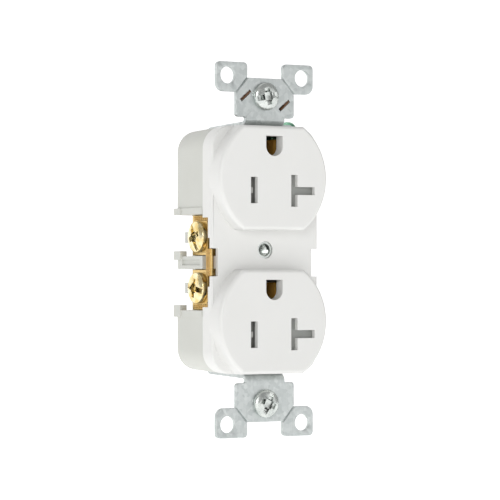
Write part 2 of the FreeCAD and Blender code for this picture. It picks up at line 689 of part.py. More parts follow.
def self_ground_clip():
    """Spring strip behind the strap whose two tongues come forward through the diagonal slots."""
    rear_y = (part_gap, part_gap + clip_thickness)
    middle_z = screw_z + (clip_left[1] + clip_right[1]) / 2
    slope = math.degrees(math.atan2(clip_right[1] - clip_left[1], clip_right[0] - clip_left[0]))
    half = math.hypot(clip_right[0] - clip_left[0], clip_right[1] - clip_left[1]) / 2
    clip = block((-half, half), rear_y, clip_bar)
    past, before, above = clip_foot
    for foot_x in ((-half - past, -half + before), (half - before, half + past)):
        clip = clip.fuse(block(foot_x, rear_y, (clip_bar[0], above)))
    clip.rotate(V(0, 0, 0), V(0, 1, 0), -slope)
    clip.translate(V(0, 0, middle_z))
    reach, thin = clip_tongue[0] / 2, clip_thickness / 2
    for place in (clip_left, clip_right):
        tongue = block((-reach, reach), (front - clip_tongue[1], rear_y[1]), (-thin, thin))
        tongue.rotate(V(0, 0, 0), V(0, 1, 0), -clip_slot_angle)
        tongue.translate(V(place[0], 0, screw_z + place[1]))
        clip = clip.fuse(tongue)
    return clip.removeSplitter()


def retainer(z):
    """Square fibre washer that keeps a mounting screw in the strap."""
    side, thickness, corner, place = washer
    y = (place, place + thickness)
    sheet = plate_xz([(x, z + dz, corner) for x, dz in rectangle(side / 2, side / 2)], y)
    return sheet.cut(rod(device_neck[0] + turn_gap, (0, y[0] - 1, z), (0, y[1] + 1, z)))


# ---------------------------------------------------------------- grounding and centre post
def center_post():
    """Threaded tubular rivet through the middle, which takes the wall plate's screw."""
    radius, thickness = post_flange
    post = rod(post_radius, (0, post_front, 0), (0, band_rear + part_gap, 0))
    post = post.fuse(rod(radius, (0, band_rear + part_gap, 0), (0, band_rear + part_gap + thickness, 0)))
    return post.cut(rod(post_bore, (0, post_front - 1, 0), (0, band_rear + 3, 0))).removeSplitter()


def leaf(path, thickness, z):
    """A bent strip: a path of (x, y) points given thickness along X, extruded over z."""
    shifted = [(x + thickness, y) for x, y in reversed(path)]
    return profile_xy(list(path) + shifted, z)


def ground_contact(ground):
    """Two spring arms on a base that lies on the strap's back, which grip the ground pin."""
    thickness, width = ground_leaf
    spread = ground_grip + ground_flare[1]
    z = (ground - width / 2, ground + width / 2)
    base_y = (band_front - part_gap - thickness, band_front - part_gap)
    arms = []
    for side in (-1, 1):
        path = [(side * (ground_grip + ground_flare[0]), contact_mouth),
                (side * ground_grip, contact_mouth + ground_bends[0]),
                (side * ground_grip, contact_mouth + ground_bends[1]),
                (side * spread, contact_mouth + ground_bends[2]),
                (side * spread, base_y[1])]
        arms.append(leaf(path, side * thickness, z))
    base = block((-spread - thickness, spread + thickness), base_y, z)
    base = base.fuse(arms).removeSplitter()
    return base.cut(rod(rivet[0] + part_gap, (0, base_y[0] - 1, ground), (0, base_y[1] + 1, ground)))


def ground_rivet(ground):
    """Rivet that joins a ground contact to the strap's back."""
    radius, head_radius, head = rivet
    inner = band_front - part_gap - ground_leaf[0] - part_gap
    outer = band_rear + part_gap
    shank = rod(radius, (0, inner, ground), (0, outer, ground))
    heads = [rod(head_radius, (0, outer, ground), (0, outer + head, ground)),
             rod(upset[0], (0, inner - upset[1], ground), (0, inner, ground))]
    return shank.fuse(heads).removeSplitter()


# ---------------------------------------------------------------- current-carrying parts
def contact_edge(side):
    """X of the blade contact's outer edge, where the bus strip's arm meets it."""
    if side < 0:
        return hot_x - blade_grip - flare - contact_thickness
    return neutral_x + neutral_arm[0] + cross_reach


def bus(side):
    """Brass strip along a terminal bay, with arms to both contacts and a break-off fin."""
    x = on_side(side, (bus_inside + part_gap, bus_plane))
    across = (x[0] - 1, x[1] + 1)
    half_gap = divider_height / 2 + 2 * sheet_gap
    strip = block(x, bus_y, (bay_low + sheet_gap, bay_high - sheet_gap))
    strip = strip.cut(block(across, (bus_y[0] + bus_bridge, bus_y[1] + 1),
                            (bay_middle - half_gap, bay_middle + half_gap)))
    slot_start, slot_depth, slot_height, slot_pitch = bridge_slot
    slot_y = (bus_y[0] + slot_start, bus_y[0] + slot_start + slot_depth)
    for z in (bay_middle - slot_pitch / 2, bay_middle + slot_pitch / 2):
        strip = strip.cut(block(across, slot_y, (z - slot_height / 2, z + slot_height / 2)))
    arm_y = (bus_y[0], split - part_gap)
    pieces = []
    for name, outlet in outlets.items():
        blades = at_outlet(outlet)[0]
        edge = contact_edge(side)
        arm_x = sorted((edge, side * (bus_plane - bus_thickness / 2)))
        if name == "upper":
            arm_z = (bay_high - bus_arm, blades + contact_height / 2)
        else:
            arm_z = (blades - contact_height / 2, bay_low + bus_arm)
        pieces.append(block(arm_x, arm_y, arm_z))
    fin_plane = half_width - (hot_fin_inset if side < 0 else neutral_fin_inset)
    fin_half = notch_height / 2 - fin_gap
    fin_z = (bay_middle - fin_half, bay_middle + fin_half)
    for fin_x, y in (((fin_plane - fin_thickness, fin_plane), fin_y),
                     ((bus_inside + part_gap, fin_plane), (fin_y[1] - fin_web, fin_y[1])),
                     ((bus_inside + part_gap, bus_plane), (fin_y[1] - fin_web, bus_y[0]))):
        pieces.append(block(on_side(side, fin_x), y, fin_z))
    strip = strip.fuse(pieces)
    for z in terminals.values():
        strip = strip.cut(rod(terminal_screw[0] + turn_gap,
                              (across[0], terminal_y, z), (across[1], terminal_y, z)))
    return strip.removeSplitter()


def blade_clip(side, blades):
    """Spring contact that grips a vertical blade; the neutral one also takes a horizontal blade."""
    t = contact_thickness
    spread = blade_grip + flare
    x = hot_x if side < 0 else neutral_x
    z = (blades - contact_height / 2, blades + contact_height / 2)
    leaves = []
    for hand in (-1, 1):
        path = [(x + hand * (blade_grip + mouth_flare), contact_mouth),
                (x + hand * blade_grip, contact_mouth + grip_span[0]),
                (x + hand * blade_grip, contact_mouth + grip_span[1]),
                (x + hand * spread, bus_y[0] - sheet_gap),
                (x + hand * spread, contact_base)]
        leaves.append(leaf(path, hand * t, z))
    base = block((x - spread - t, x + spread + t), (contact_base - t, contact_base), z)
    clip = base.fuse(leaves)
    if side > 0:
        clip = clip.fuse(cross_leaves(blades))
    return clip.removeSplitter()


def cross_leaves(blades):
    """The two leaves of the neutral contact that grip a horizontal blade."""
    t = contact_thickness
    inner = neutral_x + blade_grip + flare
    outer = contact_edge(1)
    leaves = []
    for hand in (-1, 1):
        low, high = sorted((blades + hand * blade_grip, blades + hand * (blade_grip + t)))
        leaves.append(block((inner, outer), (contact_mouth + cross_start, contact_base), (low, high)))
    back = block((inner, outer), (contact_base - t, contact_base),
                 (blades - blade_grip - t, blades + blade_grip + t))
    return leaves + [back]


def neutral_clip(blades):
    """The neutral contact, with a way through its outer leaf for the horizontal blade."""
    clip = blade_clip(1, blades)
    passage = block((neutral_x, neutral_x + blade_grip + flare + contact_thickness),
                    (contact_mouth - 1, contact_base - 2 * contact_thickness),
                    (blades - blade_grip, blades + blade_grip))
    return clip.cut(passage).removeSplitter()


def pressure_plate(side, z):
    """Square plate under a terminal screw's head, which clamps the wire on the bus strip."""
    depth, height, thickness = clamp_plate
    x = on_side(side, (bus_plane + part_gap, bus_plane + thickness))
    points = [(terminal_y + u, z + v, clamp_corner) for u, v in rectangle(depth / 2, height / 2)]
    plate = profile_yz(points, x)
    ridge_x = on_side(side, (bus_plane, bus_plane + part_gap + clamp_ridge[1]))
    for step in (-2, -1, 1, 2):
        ridge_z = z + step * height / 6
        plate = plate.cut(block(ridge_x, (terminal_y - depth / 2, terminal_y + depth / 2),
                                (ridge_z - clamp_ridge[0] / 2, ridge_z + clamp_ridge[0] / 2)))
    return plate.cut(rod(terminal_screw[0] + turn_gap, (x[0] - 1, terminal_y, z), (x[1] + 1, terminal_y, z)))


# ---------------------------------------------------------------- shutters
def hot_shutter(blades):
    """Slide that closes the hot slot, with a ramp for the blade's tip."""
    x = hot_span
    tall = hot_slot[1] / 2 + hot_shutter_lap
    points = [(x[0], shutter_y[0]), (x[1], shutter_y[0] + ramp), (x[1], shutter_y[1]), (x[0], shutter_y[1])]
    return profile_xy(points, (blades - tall, blades + tall))


def neutral_shutter(blades):
    """Slide that closes the neutral slot and its arm, with a lug for its spring."""
    plate = t_plate(blades, shutter_lap, shutter_y)
    tall = neutral_slot[1] / 2 + shutter_lap
    lug_x = (neutral_x - neutral_slot[0] / 2 - shutter_lap, neutral_x + neutral_slot[0] / 2 + shutter_lap)
    lug = block(lug_x, shutter_y, (blades - tall - lug_drop, blades))
    return plate.fuse(lug).removeSplitter()


def frame_height(blades):
    """Z span of a shutter frame."""
    low = blades - neutral_slot[1] / 2 - shutter_lap - lug_drop - frame_margin[0]
    return (low, blades + neutral_slot[1] / 2 + frame_margin[1])


def shutter_frame(outlet):
    """Plate behind the shutters, with openings for the blades and posts for the springs."""
    blades = at_outlet(outlet)[0]
    sheet = rod(face_cavity - frame_inset, (0, frame_y[0], outlet), (0, frame_y[1], outlet))
    sheet = sheet.common(block((-face_cavity, face_cavity), frame_y, frame_height(blades)))
    through = (frame_y[0] - 1, frame_y[1] + 1)
    hot_half, hot_tall = hot_slot[0] / 2 + window_gap, hot_slot[1] / 2 + window_gap
    frame = sheet.cut(block((hot_x - hot_half, hot_x + hot_half), through,
                            (blades - hot_tall, blades + hot_tall)))
    frame = frame.cut(t_plate(blades, window_gap, through))
    for face, height, z in ((hot_post_x, hot_post[1], blades),
                            (neutral_post_x, neutral_post[1], neutral_spring_z(blades))):
        frame = frame.fuse(block((face - post_wall, face), (shutter_y[0] + slide_gap, frame_y[1]),
                                 (z - height / 2, z + height / 2)))
    return frame.removeSplitter()


def neutral_spring_z(blades):
    """Height of the neutral shutter's spring."""
    return blades - neutral_slot[1] / 2 - shutter_lap - lug_drop / 2


def hot_spring(blades):
    """Spring that pushes the hot shutter shut."""
    y = spring_y + slide_gap
    return coil_spring(hot_post_x + part_gap, hot_span[0] - part_gap, y, blades, hot_turns)


def neutral_spring(blades):
    """Spring that pushes the neutral shutter shut."""
    end = neutral_x - neutral_slot[0] / 2 - shutter_lap - part_gap
    return coil_spring(neutral_post_x + part_gap, end, spring_y, neutral_spring_z(blades), neutral_turns)


# ---------------------------------------------------------------- assembly
def build():
    """Every sub-part, by node name."""
    parts = {
        "front_cover": front_cover(),
        "rear_body": rear_body(),
        "mounting_strap": mounting_strap(),
        "self_ground_clip": self_ground_clip(),
        "center_post": center_post(),
        "hot_bus": bus(-1),
        "neutral_bus": bus(1),
        "ground_screw": screw(ground_screw, *ground_recess_size,
                              (ground_screw_x, ground_screw_y, ground_screw_z), (1, 0, 0), 20),
    }
    for name, up in (("upper", 1), ("lower", -1)):
        parts[name + "_mounting_screw"] = screw(
            device_screw, *device_recess, (0, front - part_gap, up * screw_z), (0, -1, 0), 40, device_neck)
        parts[name + "_screw_retainer"] = retainer(up * screw_z)
    for name, outlet in outlets.items():
        blades, ground = at_outlet(outlet)
        parts[name + "_ground_contact"] = ground_contact(ground)
        parts[name + "_ground_rivet"] = ground_rivet(ground)
        parts[name + "_hot_contact"] = blade_clip(-1, blades)
        parts[name + "_neutral_contact"] = neutral_clip(blades)
        parts[name + "_shutter_frame"] = shutter_frame(outlet)
        parts[name + "_hot_shutter"] = hot_shutter(blades)
        parts[name + "_neutral_shutter"] = neutral_shutter(blades)
        parts[name + "_hot_shutter_spring"] = hot_spring(blades)
        parts[name + "_neutral_shutter_spring"] = neutral_spring(blades)
    for name, z in terminals.items():
        for kind, side, spin in (("hot", -1, 25), ("neutral", 1, -35)):
            base = f"{name}_{kind}"
            parts[base + "_clamp_plate"] = pressure_plate(side, z)
            parts[base + "_terminal_screw"] = screw(
                terminal_screw, *terminal_recess, (side * (clamp_face + part_gap), terminal_y, z),
                (side, 0, 0), spin)
    return parts


os.makedirs("parts", exist_ok=True)
for node, shape in build().items():
    if not shape.isValid():
        print("not valid:", node)
    if len(shape.Solids) != 1:
        print("solids in", node, len(shape.Solids))
    shape.exportStep(f"parts/{node}.step")
    box = shape.BoundBox
    print(f"{node:30s} x {box.XMin:7.2f} {box.XMax:7.2f}  y {box.YMin:7.2f} {box.YMax:7.2f}  "
          f"z {box.ZMin:7.2f} {box.ZMax:7.2f}  volume {shape.Volume:9.1f}")
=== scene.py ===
# %% [markdown]
# # A duplex wall outlet
#
# This lesson dresses a finished CAD model of a tamper-resistant duplex wall outlet. The CAD parts
# stay where they are and act as a fixed frame. We give each one the finish of the real part, we
# model the parts whose detail a plain solid lacks, and we light the whole like a product on a
# white table. All lengths are in metres, in the CAD model's own frame: X points right, Y points
# into the wall, and Z points up.

# %% Load the CAD frame
import bpy
import json
import math
from mathutils import Matrix, Vector


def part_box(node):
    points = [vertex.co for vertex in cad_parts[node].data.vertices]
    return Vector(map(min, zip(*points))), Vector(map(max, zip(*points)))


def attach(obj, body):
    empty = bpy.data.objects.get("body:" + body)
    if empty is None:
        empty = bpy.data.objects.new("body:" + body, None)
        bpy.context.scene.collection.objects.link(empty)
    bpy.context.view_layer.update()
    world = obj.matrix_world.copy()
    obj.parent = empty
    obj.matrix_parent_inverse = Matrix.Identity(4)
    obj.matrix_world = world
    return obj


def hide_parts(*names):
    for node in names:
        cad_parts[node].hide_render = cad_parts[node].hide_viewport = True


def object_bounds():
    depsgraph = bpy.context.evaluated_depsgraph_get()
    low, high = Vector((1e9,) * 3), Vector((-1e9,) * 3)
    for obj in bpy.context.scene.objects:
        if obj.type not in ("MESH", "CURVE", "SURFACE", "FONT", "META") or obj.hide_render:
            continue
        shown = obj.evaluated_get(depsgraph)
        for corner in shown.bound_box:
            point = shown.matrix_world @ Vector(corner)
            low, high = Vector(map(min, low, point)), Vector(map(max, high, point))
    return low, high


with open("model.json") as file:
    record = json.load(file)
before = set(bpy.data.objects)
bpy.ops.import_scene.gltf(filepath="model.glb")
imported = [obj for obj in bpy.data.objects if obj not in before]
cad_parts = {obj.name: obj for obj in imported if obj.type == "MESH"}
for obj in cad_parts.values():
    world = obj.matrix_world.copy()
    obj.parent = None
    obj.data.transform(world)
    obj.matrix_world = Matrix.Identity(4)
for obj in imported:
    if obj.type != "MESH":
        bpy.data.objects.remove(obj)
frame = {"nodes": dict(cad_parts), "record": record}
cad_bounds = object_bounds()
cad = frame["nodes"]
MM = 0.001
print("CAD box, mm:", [[round(v / MM, 1) for v in corner] for corner in cad_bounds])

# %% [markdown]
# ## The camera
#
# A long lens far away keeps the outlet's upright lines nearly parallel, as in a catalogue
# picture. The camera stands level with the middle of the outlet and a third of a right angle to
# its left, so we see the face, the terminals and the strap's ears together. Its sensor is shifted
# a little, which moves the outlet in the frame without turning it.

# %% Place the camera
CAMERA_AZIMUTH, CAMERA_ELEVATION = math.radians(-31.3), math.radians(-0.73)
CAMERA_DISTANCE = 0.7044
back = Vector((math.sin(CAMERA_AZIMUTH) * math.cos(CAMERA_ELEVATION),
               -math.cos(CAMERA_AZIMUTH) * math.cos(CAMERA_ELEVATION),
               math.sin(CAMERA_ELEVATION)))
lens = bpy.data.cameras.new("camera")
lens.sensor_width = 36.0
lens.lens = 186.5
lens.shift_x = -0.026
lens.clip_start, lens.clip_end = 0.01, 20.0
camera = bpy.data.objects.new("camera", lens)
bpy.context.collection.objects.link(camera)
camera.location = back * CAMERA_DISTANCE
camera.rotation_mode = "QUATERNION"
camera.rotation_quaternion = (-back).to_track_quat("-Z", "Y")
bpy.context.scene.camera = camera
print("camera at", [round(v, 3) for v in camera.location])

# %% [markdown]
# ## The table
#
# The outlet stands upright on a white sheet that curves up behind it, so there is no horizon
# line. A plane is stretched, its rear edge is extruded upwards, and a wide bevel turns the fold
# into a curve.

# %% Hang the white sheet
SHEET_WIDTH, SHEET_DEPTH, SHEET_RISE, SHEET_BEND = 6.0, 2.6, 3.0, 1.2
FLOOR_GAP = 0.0002
floor_z = cad_bounds[0].z - FLOOR_GAP


def deselect_all():
    """Returns to object mode with nothing selected."""
    if bpy.context.object and bpy.context.object.mode != "OBJECT":
        bpy.ops.object.mode_set(mode="OBJECT")
    bpy.ops.object.select_all(action="DESELECT")


deselect_all()
bpy.ops.mesh.primitive_plane_add(size=1, location=(0, 0, floor_z))
sheet = bpy.context.object
sheet.name = "white_sheet"
bpy.ops.object.mode_set(mode="EDIT")
bpy.ops.transform.resize(value=(SHEET_WIDTH, 2 * SHEET_DEPTH, 1))
bpy.ops.mesh.select_all(action="DESELECT")
bpy.ops.object.mode_set(mode="OBJECT")
for edge in sheet.data.edges:
    edge.select = all(sheet.data.vertices[i].co.y > 0 for i in edge.vertices)
bpy.ops.object.mode_set(mode="EDIT")
bpy.ops.mesh.select_mode(type="EDGE")
bpy.ops.mesh.extrude_region_move(TRANSFORM_OT_translate={"value": (0, 0, SHEET_RISE)})
bpy.ops.object.mode_set(mode="OBJECT")
bpy.ops.object.transform_apply(location=True, rotation=True, scale=True)
fold = sheet.modifiers.new("fold", "BEVEL")
fold.width, fold.segments, fold.limit_method = SHEET_BEND, 24, "ANGLE"
bpy.ops.object.modifier_apply(modifier="fold")
bpy.ops.object.shade_smooth()
print("white sheet:", len(sheet.data.polygons), "faces")

# %% [markdown]
# ## The light
#
# Small products are photographed inside a box of soft light. A key lamp stands beside the camera
# and looks into the holes, a weaker one stands at the right, and a wide one hangs overhead. The
# white world fills the shadows.

# %% Set the lamps
scene = bpy.context.scene
scene.view_settings.view_transform = "Standard"
world = bpy.data.worlds.new("white_room")
scene.world = world
world.use_nodes = True
sky = world.node_tree.nodes["Background"].inputs
sky["Color"].default_value, sky["Strength"].default_value = (1.0, 1.0, 1.0, 1.0), 0.42


def soft_lamp(name, place, size, power):
    """A square soft lamp that points at the outlet."""
    light = bpy.data.lights.new(name, "AREA")
    light.shape, light.size, light.energy = "SQUARE", size, power
    lamp = bpy.data.objects.new(name, light)
    bpy.context.collection.objects.link(lamp)
    lamp.location = place
    lamp.rotation_mode = "QUATERNION"
    lamp.rotation_quaternion = (-Vector(place)).to_track_quat("-Z", "Y")
    return lamp


key_lamp = soft_lamp("key_lamp", (-0.74, -0.84, 0.30), 0.35, 3.3)
fill_lamp = soft_lamp("fill_lamp", (0.80, -0.85, 0.25), 0.7, 0.9)
top_lamp = soft_lamp("top_lamp", (-0.05, 0.10, 1.00), 0.8, 0.7)
print("lamps:", [lamp.name for lamp in (key_lamp, fill_lamp, top_lamp)])

# %% [markdown]
# ## Building a finish from nodes
#
# Every finish below is a Principled shader fed by a few texture nodes. Two helpers keep that
# short: one turns a colour written as in a paint program into the linear values that Blender
# mixes light with, and one adds a node with its settings and its links.

# %% Colour and node helpers
def linear(code):
    """The linear RGBA of an sRGB colour written as #RRGGBB."""
    channels = [int(code[i:i + 2], 16) / 255 for i in (1, 3, 5)]
    return tuple(c / 12.92 if c <= 0.04045 else ((c + 0.055) / 1.055) ** 2.4 for c in channels) + (1.0,)


def add_node(tree, kind, inputs=(), **settings):
    """Adds one shader node. Each input is a socket's name or number, and a value or a link."""
    node = tree.nodes.new("ShaderNode" + kind)
    for name, value in settings.items():
        setattr(node, name, value)
    for socket, value in inputs:
        if isinstance(value, bpy.types.NodeSocket):
            tree.links.new(value, node.inputs[socket])
        else:
            node.inputs[socket].default_value = value
    return node


def new_finish(name):
    """An empty material: its node tree, its shader and a vector in millimetres on the object."""
    material = bpy.data.materials.new(name)
    material.use_nodes = True
    tree = material.node_tree
    shader = tree.nodes["Principled BSDF"]
    place = add_node(tree, "TexCoord").outputs["Object"]
    millimetres = add_node(tree, "VectorMath", [(0, place), (1, (1000, 1000, 1000))], operation="MULTIPLY")
    return material, tree, shader, millimetres.outputs["Vector"]


print("a mid grey in linear light:", round(linear("#808080")[0], 3))

# %% [markdown]
# ## The white sheet's paper
#
# Background paper is matte and white. In a white tent it is lit from behind as well as from the
# front, so it glows a little: a weak emission stands for the light that comes through it.

# %% Backlit paper
paper, tree, shader, mm = new_finish("backlit_white_paper")
fibres = add_node(tree, "TexNoise", [("Vector", mm), ("Scale", 0.8), ("Detail", 3.0)])
tone = add_node(tree, "Mix", [("Factor", fibres.outputs["Fac"]), ("A", linear("#F6F6F6")),
                              ("B", linear("#FCFCFC"))], data_type="RGBA")
tree.links.new(tone.outputs["Result"], shader.inputs["Base Color"])
shader.inputs["Roughness"].default_value = 0.9
shader.inputs["Emission Color"].default_value = linear("#FFFFFF")
shader.inputs["Emission Strength"].default_value = 0.65
sheet.data.materials.append(paper)
print("paper on", sheet.name)

# %% [markdown]
# ## White moulded cover
#
# The cover is nylon, moulded in a polished steel tool. That gives the eye an even, faintly warm
# white with a soft gloss: highlights are broad and have no hard edge. Two things keep it from
# looking like paint: the gloss wanders slightly where the melt flowed, over some millimetres, and
# a very fine orange-peel lifts the surface at about a third of a millimetre.

# %% White nylon
FINISHES = {}


def white_nylon():
    material, tree, shader, mm = new_finish("white_moulded_nylon")
    flow = add_node(tree, "TexNoise", [("Vector", mm), ("Scale", 0.12), ("Detail", 3.0)])
    tone = add_node(tree, "Mix", [("Factor", flow.outputs["Fac"]), ("A", linear("#DFDFDC")),
                                  ("B", linear("#E3E3E1"))], data_type="RGBA")
    gloss = add_node(tree, "MapRange", [("Value", flow.outputs["Fac"]), ("From Min", 0.3), ("From Max", 0.7),
                                        ("To Min", 0.34), ("To Max", 0.42)])
    peel = add_node(tree, "TexNoise", [("Vector", mm), ("Scale", 3.0), ("Detail", 1.0)])
    bump = add_node(tree, "Bump", [
        ("Height", peel.outputs["Fac"]), ("Strength", 0.05), ("Distance", 0.00005)])
    tree.links.new(tone.outputs["Result"], shader.inputs["Base Color"])
    tree.links.new(gloss.outputs["Result"], shader.inputs["Roughness"])
    tree.links.new(bump.outputs["Normal"], shader.inputs["Normal"])
    shader.inputs["IOR"].default_value = 1.53
    return material


FINISHES["white_cover"] = white_nylon()
print("made", FINISHES["white_cover"].name)

# %% [markdown]
# ## Grey moulded plastics
#
# The body behind the cover is a stiff polyester, PBT, in a light warm grey. Its tool is spark
# eroded instead of polished, which leaves a sandy skin with grains of about a quarter of a
# millimetre, so the plastic looks drier than the cover. The plates that carry the shutters are
# glass-filled nylon and the shutters are slippery grey acetal. All three are the same recipe with
# another colour, gloss and grain, so one function makes them.

# %% Grey PBT, filled nylon and acetal
def moulded_grey(name, dark, light, grain_mm, roughness, ior):
    material, tree, shader, mm = new_finish(name)
    cloud = add_node(tree, "TexNoise", [("Vector", mm), ("Scale", 0.10), ("Detail", 4.0)])
    tone = add_node(tree, "Mix", [("Factor", cloud.outputs["Fac"]), ("A", linear(dark)),
                                  ("B", linear(light))], data_type="RGBA")
    sand = add_node(tree, "TexNoise", [("Vector", mm), ("Scale", 1 / grain_mm), ("Detail", 2.0)])
    gloss = add_node(tree, "MapRange", [("Value", sand.outputs["Fac"]), ("From Min", 0.3), ("From Max", 0.7),
                                        ("To Min", roughness - 0.05), ("To Max", roughness + 0.05)])
    bump = add_node(tree, "Bump", [
        ("Height", sand.outputs["Fac"]), ("Strength", 0.18), ("Distance", 0.00004)])
    tree.links.new(tone.outputs["Result"], shader.inputs["Base Color"])
    tree.links.new(gloss.outputs["Result"], shader.inputs["Roughness"])
    tree.links.new(bump.outputs["Normal"], shader.inputs["Normal"])
    shader.inputs["IOR"].default_value = ior
    return material


FINISHES["grey_body"] = moulded_grey("spark_textured_grey_pbt", "#C6C7C0", "#CFD0CA", 0.25, 0.50, 1.55)
FINISHES["shutter_base"] = moulded_grey("glass_filled_nylon", "#B4B5B1", "#C0C1BD", 0.35, 0.55, 1.53)
FINISHES["grey_shutter"] = moulded_grey("grey_acetal", "#8C8E8B", "#9B9D99", 0.50, 0.38, 1.48)
print("made", [FINISHES[slot].name for slot in ("grey_body", "shutter_base", "grey_shutter")])

# %% [markdown]
# ## Galvanised steel strip
#
# The strap is punched and folded from steel strip that was dipped in molten zinc. As the zinc
# freezes it grows flat crystals, the spangle, and each one tilts its own way, so neighbours differ
# a little in brightness and in gloss. Voronoi cells about a millimetre wide stand for them. The
# strip was rolled after that, which flattens the spangle and leaves fine lines along its length.

# %% Galvanised steel
def galvanised_steel():
    material, tree, shader, mm = new_finish("galvanised_steel_strip")
    wobble = add_node(tree, "TexNoise", [("Vector", mm), ("Scale", 0.6), ("Detail", 2.0)])
    bent = add_node(tree, "VectorMath", [(0, mm), (1, wobble.outputs["Color"])], operation="ADD")
    spangle = add_node(tree, "TexVoronoi", [("Vector", bent.outputs["Vector"]), ("Scale", 0.9)])
    flake = add_node(tree, "SeparateColor", [("Color", spangle.outputs["Color"])])
    along = add_node(tree, "Mapping", [("Vector", mm), ("Scale", (6.0, 6.0, 0.25))])
    lines = add_node(tree, "TexNoise", [("Vector", along.outputs["Vector"]), ("Scale", 1.0), ("Detail", 3.0)])
    both = add_node(tree, "Mix", [("Factor", 0.45), ("A", flake.outputs["Red"]), ("B", lines.outputs["Fac"])],
                    data_type="FLOAT")
    tone = add_node(tree, "Mix", [("Factor", both.outputs["Result"]), ("A", linear("#B6BCBB")),
                                  ("B", linear("#D6DAD9"))], data_type="RGBA")
    gloss = add_node(tree, "MapRange", [
        ("Value", flake.outputs["Green"]), ("To Min", 0.36), ("To Max", 0.52)])
    bump = add_node(tree, "Bump", [
        ("Height", lines.outputs["Fac"]), ("Strength", 0.10), ("Distance", 0.00003)])
    tree.links.new(tone.outputs["Result"], shader.inputs["Base Color"])
    tree.links.new(gloss.outputs["Result"], shader.inputs["Roughness"])
    tree.links.new(bump.outputs["Normal"], shader.inputs["Normal"])
    shader.inputs["Metallic"].default_value = 1.0
    return material


FINISHES["galvanised"] = galvanised_steel()
print("made", FINISHES["galvanised"].name)

# %% [markdown]
# ## Plated screws
#
# The screws are cold-headed steel with a thin plate on top: bright zinc on the mounting screws,
# brass on the hot side, nickel on the neutral side, and a green passivated zinc on the ground
# screw. Barrel plating lets the screws tumble on each other, so the plate is bright but not a
# mirror, with small dents about half a millimetre apart. Where dirt and thin plate gather, in
# broad soft spots, the colour is a shade deeper.

# %% Barrel-plated finishes
def barrel_plate(name, deep, bright, roughness, metallic=1.0):
    material, tree, shader, mm = new_finish(name)
    spots = add_node(tree, "TexNoise", [("Vector", mm), ("Scale", 0.45), ("Detail", 3.0)])
    spread = add_node(tree, "MapRange", [
        ("Value", spots.outputs["Fac"]), ("From Min", 0.35), ("From Max", 0.65)])
    tone = add_node(tree, "Mix", [("Factor", spread.outputs["Result"]), ("A", linear(deep)),
                                  ("B", linear(bright))], data_type="RGBA")
    dents = add_node(tree, "TexNoise", [("Vector", mm), ("Scale", 2.0), ("Detail", 2.0)])
    gloss = add_node(tree, "MapRange", [("Value", dents.outputs["Fac"]), ("From Min", 0.3), ("From Max", 0.7),
                                        ("To Min", roughness - 0.06), ("To Max", roughness + 0.08)])
    bump = add_node(tree, "Bump", [
        ("Height", dents.outputs["Fac"]), ("Strength", 0.25), ("Distance", 0.00005)])
    tree.links.new(tone.outputs["Result"], shader.inputs["Base Color"])
    tree.links.new(gloss.outputs["Result"], shader.inputs["Roughness"])
    tree.links.new(bump.outputs["Normal"], shader.inputs["Normal"])
    shader.inputs["Metallic"].default_value = metallic
    return material


FINISHES["zinc_screw"] = barrel_plate("bright_zinc_plate", "#C4C9C6", "#DCE0DC", 0.24)
FINISHES["brass_screw"] = barrel_plate("brass_plate", "#E6CB86", "#FAF0CC", 0.20)
FINISHES["nickel_screw"] = barrel_plate("nickel_plate", "#C8C3B8", "#DDD9D0", 0.22)
FINISHES["green_screw"] = barrel_plate("green_passivated_zinc", "#5F9A7C", "#8CBFA2", 0.30, 0.85)
print("made", [FINISHES[slot].name for slot in ("zinc_screw", "brass_screw", "nickel_screw", "green_screw")])

# %% [markdown]
# ## Rolled metals and the small parts
#
# The bus strips are rolled brass, the self-grounding clip is phosphor bronze and the shutter
# springs are drawn steel wire. Rolling and drawing leave fine lines in one direction, so the
# pattern is a noise that is squeezed across the lines and stretched along them. The contacts are
# brass too, but tarnished: the brown film on them scatters light, so they are less metallic and
# rougher, and still glow amber deep inside a hole. The screw retainers are vulcanised fibre, a
# hard board of pressed cotton paper with faint fibres in it.

# %% Rolled and drawn metals, fibre board
def drawn_metal(name, deep, bright, line_mm, stretch, roughness, metallic=1.0):
    material, tree, shader, mm = new_finish(name)
    along = add_node(tree, "Mapping", [("Vector", mm), ("Scale", tuple(v / line_mm for v in stretch))])
    lines = add_node(tree, "TexNoise", [("Vector", along.outputs["Vector"]), ("Scale", 1.0), ("Detail", 3.0)])
    tarnish = add_node(tree, "TexNoise", [("Vector", mm), ("Scale", 0.35), ("Detail", 4.0)])
    both = add_node(tree, "Mix", [
        ("Factor", 0.5), ("A", lines.outputs["Fac"]), ("B", tarnish.outputs["Fac"])], data_type="FLOAT")
    tone = add_node(tree, "Mix", [("Factor", both.outputs["Result"]), ("A", linear(deep)),
                                  ("B", linear(bright))], data_type="RGBA")
    gloss = add_node(tree, "MapRange", [("Value", lines.outputs["Fac"]), ("From Min", 0.3), ("From Max", 0.7),
                                        ("To Min", roughness - 0.06), ("To Max", roughness + 0.06)])
    bump = add_node(tree, "Bump", [
        ("Height", lines.outputs["Fac"]), ("Strength", 0.15), ("Distance", 0.00003)])
    tree.links.new(tone.outputs["Result"], shader.inputs["Base Color"])
    tree.links.new(gloss.outputs["Result"], shader.inputs["Roughness"])
    tree.links.new(bump.outputs["Normal"], shader.inputs["Normal"])
    shader.inputs["Metallic"].default_value = metallic
    return material


